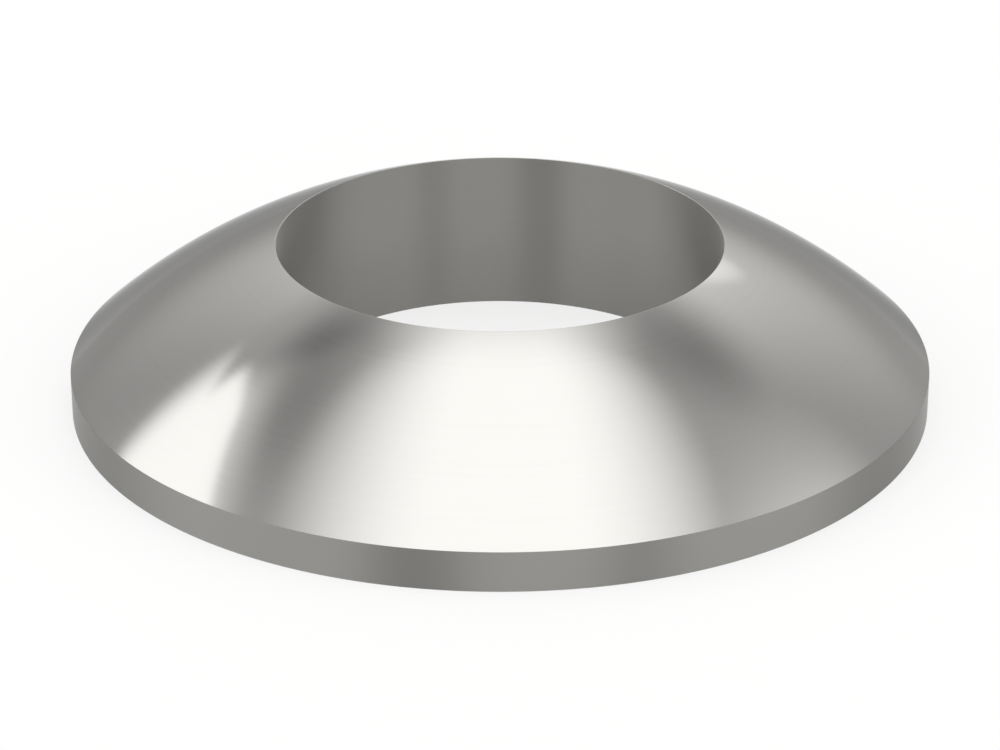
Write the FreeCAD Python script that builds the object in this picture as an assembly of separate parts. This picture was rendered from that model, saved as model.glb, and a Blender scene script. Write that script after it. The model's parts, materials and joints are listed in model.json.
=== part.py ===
import FreeCAD, Part
import math
import os

# Spherical washer: one turned steel ring whose top is a domed seat for a conical washer.
# Millimetres. The bore's axis is Z, and the flat base lies on Z = 0.

# Driving sizes
outer_diameter = 12.0
bore_diameter = 6.2
rim_height = 0.56     # straight outer wall, from the base to the sharp corner under the seat
seat_radius = 9.0     # radius of the sphere that the seat is part of
edge_break = 0.02     # how far each turned corner is cut back, both towards the axis and along it

# Sizes that follow from them
outer_radius = outer_diameter / 2
bore_radius = bore_diameter / 2
middle_radius = (outer_radius + bore_radius) / 2

# The sphere is centred on the bore's axis, at the height that brings it through the top of the rim.
sphere_centre_z = rim_height - math.sqrt(seat_radius**2 - outer_radius**2)


def seat_z(radius):
    # Height of the seat at a distance from the bore's axis.
    return sphere_centre_z + math.sqrt(seat_radius**2 - radius**2)


def on_section(radius, z):
    # A point of the wall's section, which lies in the plane Y = 0.
    return FreeCAD.Vector(radius, 0, z)


def on_seat(radius):
    return on_section(radius, seat_z(radius))


def base_line():
    inner_end = on_section(bore_radius + edge_break, 0)
    outer_end = on_section(outer_radius - edge_break, 0)
    return Part.LineSegment(inner_end, outer_end)


def rim_line():
    lower_end = on_section(outer_radius, edge_break)
    upper_end = on_section(outer_radius, rim_height - edge_break)
    return Part.LineSegment(lower_end, upper_end)


def seat_arc():
    outer_end = on_seat(outer_radius - edge_break)
    inner_end = on_seat(bore_radius + edge_break)
    return Part.Arc(outer_end, on_seat(middle_radius), inner_end)


def bore_line():
    upper_end = on_section(bore_radius, seat_z(bore_radius) - edge_break)
    lower_end = on_section(bore_radius, edge_break)
    return Part.LineSegment(upper_end, lower_end)


def closed_section(turned_faces):
    # Takes the turned faces in order round the wall. A short line joins each to the next: the broken corner.
    edges = []
    for face, next_face in zip(turned_faces, turned_faces[1:] + turned_faces[:1]):
        corner = Part.LineSegment(face.EndPoint, next_face.StartPoint)
        edges.extend([face.toShape(), corner.toShape()])
    return Part.Face(Part.Wire(edges))


section = closed_section([base_line(), rim_line(), seat_arc(), bore_line()])
bore_axis = FreeCAD.Vector(0, 0, 1)
washer = section.revolve(FreeCAD.Vector(0, 0, 0), bore_axis, 360)

os.makedirs("parts", exist_ok=True)
washer.exportStep("parts/spherical_washer.step")

print(f"overall height {seat_z(bore_radius + edge_break):.3f} mm, volume {washer.Volume:.2f} mm3")
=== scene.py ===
import json
import math

import bpy
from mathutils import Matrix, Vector


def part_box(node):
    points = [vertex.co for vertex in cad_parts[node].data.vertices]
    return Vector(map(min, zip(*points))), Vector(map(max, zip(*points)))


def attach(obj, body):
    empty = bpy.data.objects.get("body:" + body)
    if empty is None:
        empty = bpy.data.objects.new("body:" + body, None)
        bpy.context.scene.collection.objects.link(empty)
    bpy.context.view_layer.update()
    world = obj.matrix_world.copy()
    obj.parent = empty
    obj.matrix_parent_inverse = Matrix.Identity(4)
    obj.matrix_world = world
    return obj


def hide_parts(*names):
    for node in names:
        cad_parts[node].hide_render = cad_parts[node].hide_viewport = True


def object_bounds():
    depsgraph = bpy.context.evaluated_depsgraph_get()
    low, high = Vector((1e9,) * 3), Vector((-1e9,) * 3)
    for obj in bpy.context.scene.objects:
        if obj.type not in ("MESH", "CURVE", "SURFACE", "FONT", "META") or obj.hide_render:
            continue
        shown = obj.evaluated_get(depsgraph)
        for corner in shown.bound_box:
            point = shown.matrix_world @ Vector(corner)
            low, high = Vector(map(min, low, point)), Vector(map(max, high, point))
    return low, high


# Spherical washer, one turned and ground steel ring, lying on a white table in a soft studio.
# Lengths are metres, as in the frame; the dictionaries give small sizes in millimetres.
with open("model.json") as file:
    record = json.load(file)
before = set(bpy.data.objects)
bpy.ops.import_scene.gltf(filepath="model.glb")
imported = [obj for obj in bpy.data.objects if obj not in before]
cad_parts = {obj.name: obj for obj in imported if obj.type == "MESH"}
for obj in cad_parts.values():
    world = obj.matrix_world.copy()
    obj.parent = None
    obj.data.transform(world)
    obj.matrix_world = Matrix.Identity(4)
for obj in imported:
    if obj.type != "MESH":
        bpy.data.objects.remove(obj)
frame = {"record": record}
cadLow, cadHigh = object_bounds()
millimetre = 0.001
print("frame loaded")


class Wire:
    # One socket of a node tree. Arithmetic on wires adds Math nodes.
    def __init__(self, tree, socket=None):
        self.tree = tree
        self.socket = socket

    # Any node: its type, its settings (set first), then the values or links of its sockets.
    def node(self, kind, settings={}, sockets={}, output=0):
        made = self.tree.nodes.new("ShaderNode" + kind)
        for name, value in settings.items():
            setattr(made, name, value)
        for name, value in sockets.items():
            if isinstance(value, Wire):
                self.tree.links.new(value.socket, made.inputs[name])
            else:
                made.inputs[name].default_value = value
        return Wire(self.tree, made.outputs[output] if made.outputs else None)

    def maths(self, operation, first, second=0.0):
        return self.node("Math", {"operation": operation}, {0: first, 1: second})

    def __add__(self, other):
        return self.maths("ADD", self, other)

    def __radd__(self, other):
        return self.maths("ADD", other, self)

    def __sub__(self, other):
        return self.maths("SUBTRACT", self, other)

    def __rsub__(self, other):
        return self.maths("SUBTRACT", other, self)

    def __mul__(self, other):
        return self.maths("MULTIPLY", self, other)

    def __rmul__(self, other):
        return self.maths("MULTIPLY", other, self)

    def __truediv__(self, other):
        return self.maths("DIVIDE", self, other)

    def __pow__(self, other):
        return self.maths("POWER", self, other)

    def __abs__(self):
        return self.maths("ABSOLUTE", self)


# 0 at the first value, 1 at the second, with soft ends
def fade(wire, start, end):
    settings = {"interpolation_type": "SMOOTHSTEP"}
    return wire.node("MapRange", settings, {"Value": wire, "From Min": start, "From Max": end})


def largest(wires):
    top = wires[0]
    for wire in wires[1:]:
        top = top.maths("MAXIMUM", top, wire)
    return top


def separate(vector):
    x = vector.node("SeparateXYZ", {}, {"Vector": vector}, "X")
    return [Wire(vector.tree, socket) for socket in x.socket.node.outputs]


def startMaterial(name):
    material = bpy.data.materials.new(name)
    material.use_nodes = True
    material.node_tree.nodes.clear()
    return material, Wire(material.node_tree)


# The washer's shape

washerShape = {
    "cornerRound": 0.008,     # mm, the small round on each turned corner
    "aroundSteps": 288,       # faces round the ring
    "seatSteps": 72,          # rings of faces from the rim to the mouth
    "cornerSteps": 6,         # rings of faces on each small round
}


def washerSizes():
    mounts = {mount["name"]: mount["dims"] for mount in frame["record"]["mounts"]}
    low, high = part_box("spherical_washer")
    corner = washerShape["cornerRound"] * millimetre
    sizes = {
        "outer": min(high.x, -low.x, high.y, -low.y),
        "bore": mounts["bore"]["r_mm"] * millimetre,
        "seat": mounts["spherical_seat"]["r_mm"] * millimetre,
        "corner": corner,
        "base": low.z,
    }
    mouthRadius = sizes["bore"] + corner
    sizes["seatCentre"] = high.z - math.sqrt(sizes["seat"] ** 2 - mouthRadius ** 2)
    return sizes


# Points of one arc of the section, each with the direction that the surface faces there
def arcPoints(centreRadius, centreZ, arcRadius, startAngle, endAngle, steps):
    points = []
    for step in range(steps + 1):
        angle = startAngle + (endAngle - startAngle) * step / steps
        facing = (math.cos(angle), math.sin(angle))
        points.append((centreRadius + arcRadius * facing[0], centreZ + arcRadius * facing[1], facing))
    return points


# The section is four small rounds and the seat's arc; straight walls join them.
def washerSection(sizes):
    corner = sizes["corner"]
    outerCentre = sizes["outer"] - corner
    boreCentre = sizes["bore"] + corner
    inside = sizes["seat"] - corner        # a round that touches the seat from inside has its centre here
    rimRise = math.sqrt(inside ** 2 - outerCentre ** 2)
    mouthRise = math.sqrt(inside ** 2 - boreCentre ** 2)
    rimAngle = math.atan2(rimRise, outerCentre)
    mouthAngle = math.atan2(mouthRise, boreCentre)
    centreZ = sizes["seatCentre"]
    footZ = sizes["base"] + corner
    cornerSteps = washerShape["cornerSteps"]
    quarter = math.pi / 2
    foot = arcPoints(outerCentre, footZ, corner, -quarter, 0, cornerSteps)
    shoulder = arcPoints(outerCentre, centreZ + rimRise, corner, 0, rimAngle, cornerSteps)
    seat = arcPoints(0, centreZ, sizes["seat"], rimAngle, mouthAngle, washerShape["seatSteps"])
    mouth = arcPoints(boreCentre, centreZ + mouthRise, corner, mouthAngle, math.pi, cornerSteps)
    boreFoot = arcPoints(boreCentre, footZ, corner, math.pi, 3 * quarter, cornerSteps)
    return foot + shoulder + seat[1:-1] + mouth + boreFoot


def turnedRing(name, section):
    around = washerShape["aroundSteps"]
    points, facings, faces = [], [], []
    for step in range(around):
        turn = 2 * math.pi * step / around
        across, along = math.cos(turn), math.sin(turn)
        for radius, z, facing in section:
            points.append((radius * across, radius * along, z))
            facings.append((facing[0] * across, facing[0] * along, facing[1]))
    rows = len(section)
    for step in range(around):
        here, there = step * rows, (step + 1) % around * rows
        for row in range(rows):
            following = (row + 1) % rows
            faces.append((here + row, there + row, there + following, here + following))
    mesh = bpy.data.meshes.new(name)
    mesh.from_pydata(points, [], faces)
    mesh.shade_smooth()
    mesh.normals_split_custom_set_from_vertices(facings)
    ring = bpy.data.objects.new(name, mesh)
    bpy.context.scene.collection.objects.link(ring)
    return ring


washerRing = turnedRing("washer_ring", washerSection(washerSizes()))
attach(washerRing, "root")
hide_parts("spherical_washer")
print("washer turned")


# The washer's steel: the seat is ground bright, the rim and base are left as turned, and the bore is duller.
# The rim, base and bore get a darker steel colour than the seat: painted shade for the darker reflections
# they show.

groundSeat = {
    "name": "ground seat",
    "colour": (0.597, 0.59, 0.575, 1.0),
    "metallic": 1.0,
    "edgeTint": (0.35, 0.35, 0.35, 1.0),    # share of a mirror's glare that the steel keeps at a flat angle
    "toneChange": 0.03,                     # how much lighter or darker the steel gets from ring to ring
    "roughness": 0.10,
    "roughnessChange": 0.03,
    "stretch": 0.0,                         # 1 smears reflections straight across the turning marks
    "ringsPerMillimetre": 9.0,
    "ringDepth": 0.00008,                   # mm
    "cloudsPerMetre": 350.0,                # large, faint changes of tone
}
turnedRimPaintedShade = dict(
    groundSeat,
    name="turned rim with painted shade",
    # darker steel than the seat: painted shade for the darker reflection on the rim and base
    colour=(0.372, 0.368, 0.355, 1.0),
    edgeTint=(1.0, 1.0, 1.0, 1.0),
    roughness=0.5,
    stretch=1.0,
    ringsPerMillimetre=14.0,
    ringDepth=0.00015,
)
dullBorePaintedShade = dict(
    turnedRimPaintedShade,
    name="dull bore with painted shade",
    # darker again: painted shade for the darker reflection in the bore
    colour=(0.344, 0.34, 0.326, 1.0),
    metallic=0.65,
)
acrossTheMarks = 0.25     # quarter turn of the smear, from along the turning marks to across them
upward = 0.7              # faces that look further up than this belong to the seat


# One number that grows steadily along the section, so that noise on it makes rings
def alongSection(start):
    place = start.node("TexCoord", output="Object")
    x, y, z = separate(place)
    radius = (x * x + y * y) ** 0.5
    return place, (radius - z) / millimetre


def steelFinish(finish):
    material, start = startMaterial(finish["name"])
    place, along = alongSection(start)
    rings = start.node(
        "TexNoise",
        {"noise_dimensions": "1D"},
        {"W": along, "Scale": finish["ringsPerMillimetre"], "Detail": 4.0, "Roughness": 0.6},
    )
    clouds = start.node("TexNoise", {}, {"Vector": place, "Scale": finish["cloudsPerMetre"], "Detail": 3.0})
    tone = 1 + (clouds + rings - 1) * finish["toneChange"]
    colour = start.node(
        "Mix",
        {"data_type": "RGBA", "blend_type": "MULTIPLY"},
        {"Factor": 1.0, "A": finish["colour"], "B": tone},
        "Result",
    )
    bump = start.node("Bump", {}, {"Distance": finish["ringDepth"] * millimetre, "Height": rings})
    shader = start.node(
        "BsdfPrincipled",
        {},
        {
            "Base Color": colour,
            "Metallic": finish["metallic"],
            "Specular Tint": finish["edgeTint"],
            "Roughness": finish["roughness"] + (rings - 0.5) * finish["roughnessChange"],
            "Anisotropic": finish["stretch"],
            "Anisotropic Rotation": acrossTheMarks,
            "Normal": bump,
        },
    )
    start.node("OutputMaterial", {}, {"Surface": shader})
    return material


def finishRing(ring):
    finishes = (groundSeat, turnedRimPaintedShade, dullBorePaintedShade)
    for finish in finishes:
        ring.data.materials.append(steelFinish(finish))
    for face in ring.data.polygons:
        outward = face.center.x * face.normal.x + face.center.y * face.normal.y
        if face.normal.z > upward:
            finish = groundSeat
        elif outward >= 0:
            finish = turnedRimPaintedShade
        else:
            finish = dullBorePaintedShade
        face.material_index = finishes.index(finish)


finishRing(washerRing)
print("steel finished")


# The table is plain white board, with light under it so that it stays white and its shadows stay faint.

table = {
    "side": 1.6,              # m
    "colour": (0.95, 0.95, 0.95, 1.0),
    "glow": (1.0, 1.0, 1.0, 1.0),
    "gap": 0.001,             # mm between the table's surface and the washer's base
    "lightShare": 0.7,        # how much of the white comes from below
}


def whiteTable():
    half = table["side"] / 2
    z = cadLow.z - table["gap"] * millimetre
    corners = [(-half, -half, z), (half, -half, z), (half, half, z), (-half, half, z)]
    mesh = bpy.data.meshes.new("white_table")
    mesh.from_pydata(corners, [], [(0, 1, 2, 3)])
    surface = bpy.data.objects.new("white_table", mesh)
    bpy.context.scene.collection.objects.link(surface)
    material, start = startMaterial("white table")
    board = start.node("BsdfDiffuse", {}, {"Color": table["colour"]})
    white = start.node("Emission", {}, {"Color": table["glow"], "Strength": 1.0})
    rays = ("Is Camera Ray", "Is Glossy Ray", "Is Transmission Ray")
    seen = sum(start.node("LightPath", output=ray) for ray in rays)
    shader = start.node("MixShader", {}, {0: seen * table["lightShare"], 1: board, 2: white})
    start.node("OutputMaterial", {}, {"Surface": shader})
    mesh.materials.append(material)


whiteTable()
print("table laid")


# Studio. Places are on a ceiling one unit above the washer: to the right, and away from the camera.
# Bearings are degrees from straight ahead, and heights are the z of a direction of length 1.
# A pair is a fade: nothing at its first value, all of it at its second.

studio = {
    "colour": (1.0, 0.996, 0.985, 1.0),
    "walls": 0.482,
    "horizon": {"level": 0.76, "height": (0.16, -0.04)},    # the walls get lighter where they meet the table
    "lamp": 1.63,             # what a softbox shows
    "lowest": 0.02,           # directions below this height count as this high on the ceiling
    "overhead": {
        "width": 0.5,
        "taper": 0.55,        # how fast it narrows away from the camera
        "leastWidth": 0.25,
        "shift": 0.02,
        "edge": (1.6, 0.3),   # in shares of its width
        "far": (1.0, 0.25),
        "near": (-0.8, -0.45),
    },
    "left": {
        "turns": {"side": -31.1, "far": 68.3, "cut": 28.1},     # degrees
        "ends": {"side": (-2.3, -1.9), "far": (-0.6, -0.4)},
        "outer": {"slope": 0.225, "far": (0.95, 0.59), "side": (-1.15, -1.25)},
        "inner": {"slope": 0.256, "far": (0.73, 0.59), "side": (-0.89, -0.98)},
        "cut": (-0.7, -0.79),
        "border": {"slope": 0.0, "far": (0.42, 0.12), "side": (-0.7, -1.05)},
        "borderStrength": 0.5,
    },
    "rightFill": {"place": (1.7, -0.3), "radii": (1.3, 1.3), "turn": 0, "core": 0.2, "strength": 0.6},
    "backSpot": {"place": (0.62, 1.7), "radii": (0.32, 1.1), "turn": -25, "core": 0.4, "strength": 0.85},
    "backGlow": {
        "bearing": 4,
        "spread": 54,
        "strength": 0.68,
        "foot": 0.45,         # share of its strength at the table
        "rise": (0, 0.35),
        "top": (0.75, 0.58),
    },
    "cards": [
        {"place": (-0.57, 0.45), "radii": (0.25, 0.6), "turn": -23, "core": 0.2, "strength": 0.3},
        {"place": (-0.5, 0.63), "radii": (0.28, 0.28), "turn": 0, "core": 0.0, "strength": 0.48},
        {"place": (0.56, 0.6), "radii": (0.36, 0.36), "turn": 0, "core": 0.0, "strength": 0.36},
    ],
    "frontPanels": {"level": 2.2, "ends": (110, 80), "foot": (0.1, 0.22), "top": (0.66, 0.46)},
    "frontGaps": {"foot": (0, 0.05), "top": (0.85, 0.71)},
    "gaps": [
        {"bearing": -22, "edge": (15, 7), "depth": 0.93},
        {"bearing": 36, "edge": (11, 3), "depth": 0.75},
    ],
}


# How far a place lies along a direction that is turned by so many degrees
def alongTurned(right, back, degrees):
    turn = math.radians(degrees)
    return right * math.cos(turn) + back * math.sin(turn)


def bearingOf(right, ahead):
    return right.maths("ARCTAN2", right, ahead) * math.degrees(1)


def oval(right, back, spot):
    fromRight = right - spot["place"][0]
    fromBack = back - spot["place"][1]
    across = alongTurned(fromRight, fromBack, spot["turn"]) / spot["radii"][0]
    along = alongTurned(fromRight, fromBack, spot["turn"] + 90) / spot["radii"][1]
    distance = (across * across + along * along) ** 0.5
    return fade(distance, 1, spot["core"]) * spot["strength"]


# The long softbox over the washer narrows away from the camera.
def overheadBox(right, back):
    box = studio["overhead"]
    width = largest([box["width"] - back * box["taper"], box["leastWidth"]])
    across = fade(abs(right - box["shift"]) / width, *box["edge"])
    return across * fade(back, *box["far"]) * fade(back, *box["near"])


# A panel of the softbox on the left ends at a sloping far edge and at a straight side edge.
def leftPanel(side, far, panel):
    return fade(far - side * panel["slope"], *panel["far"]) * fade(side, *panel["side"])


# Its two panels leave a notch between them, and a paler border lies on the side of the washer.
def leftBox(right, back):
    box = studio["left"]
    side = alongTurned(right, back, box["turns"]["side"])
    far = alongTurned(right, back, box["turns"]["far"])
    cut = alongTurned(side, far, box["turns"]["cut"])
    outer = leftPanel(side, far, box["outer"])
    inner = leftPanel(side, far, box["inner"]) * fade(cut, *box["cut"])
    border = leftPanel(side, far, box["border"]) * box["borderStrength"]
    ends = fade(side, *box["ends"]["side"]) * fade(far, *box["ends"]["far"])
    return largest([outer, inner, border]) * ends


# Light behind the washer, low down, brightest straight ahead
def backGlow(bearing, z):
    glow = studio["backGlow"]
    across = fade(abs(bearing - glow["bearing"]), glow["spread"], 0)
    height = glow["foot"] + fade(z, *glow["rise"]) * (1 - glow["foot"])
    return across * height * fade(z, *glow["top"]) * glow["strength"]


# Bright panels stand round the camera's side, with dark gaps between them that go up higher.
def frontPanels(bearing, z, walls):
    panels = studio["frontPanels"]
    bright = fade(abs(bearing), *panels["ends"]) * fade(z, *panels["foot"]) * fade(z, *panels["top"])
    gaps = [fade(abs(bearing - gap["bearing"]), *gap["edge"]) * gap["depth"] for gap in studio["gaps"]]
    dark = largest(gaps) * fade(z, *studio["frontGaps"]["foot"]) * fade(z, *studio["frontGaps"]["top"])
    return (walls + bright * (panels["level"] - walls)) * (1 - dark)


def studioLight():
    world = bpy.data.worlds.new("soft studio")
    world.use_nodes = True
    world.node_tree.nodes.clear()
    bpy.context.scene.world = world
    start = Wire(world.node_tree)
    x, y, z = separate(start.node("TexCoord", output="Generated"))
    up = largest([z, studio["lowest"]])
    right = x / up
    back = y / up
    horizon = fade(z, *studio["horizon"]["height"]) * (studio["horizon"]["level"] - studio["walls"])
    cards = largest([oval(right, back, card) for card in studio["cards"]])
    walls = (studio["walls"] + horizon) * (1 - cards)
    walls = frontPanels(bearingOf(x, 0 - y), z, walls)
    lamps = largest([
        overheadBox(right, back),
        leftBox(right, back),
        backGlow(bearingOf(x, y), z),
        oval(right, back, studio["rightFill"]),
        oval(right, back, studio["backSpot"]),
    ])
    level = walls + lamps * (studio["lamp"] - walls)
    shader = start.node("Background", {}, {"Color": studio["colour"], "Strength": level})
    start.node("OutputWorld", {}, {"Surface": shader})


studioLight()
print("studio lit")


# Camera, in the photograph's place: from the front, a little above the table

camera = {
    "elevation": 24.9,        # degrees above the table
    "distance": 49.76,        # mm from the point it looks at
    "aimHeight": 0.226,       # mm above the base
    "focalPixels": 3533.0,    # focal length, in pixels of a picture 1000 wide
    "pictureWidth": 1000.0,
    "sensor": 36.0,           # mm
    "clip": (0.001, 10.0),    # m
}


def photoCamera():
    lens = bpy.data.cameras.new("photo camera")
    lens.sensor_width = camera["sensor"]
    lens.lens = camera["sensor"] * camera["focalPixels"] / camera["pictureWidth"]
    lens.clip_start, lens.clip_end = camera["clip"]
    eye = bpy.data.objects.new("photo camera", lens)
    elevation = math.radians(camera["elevation"])
    aim = Vector((0, 0, camera["aimHeight"] * millimetre))
    towards = Vector((0, -math.cos(elevation), math.sin(elevation)))
    eye.location = aim + towards * camera["distance"] * millimetre
    eye.rotation_euler = (math.pi / 2 - elevation, 0, 0)
    bpy.context.scene.collection.objects.link(eye)
    bpy.context.scene.camera = eye


photoCamera()
bpy.context.scene.view_settings.view_transform = "Standard"
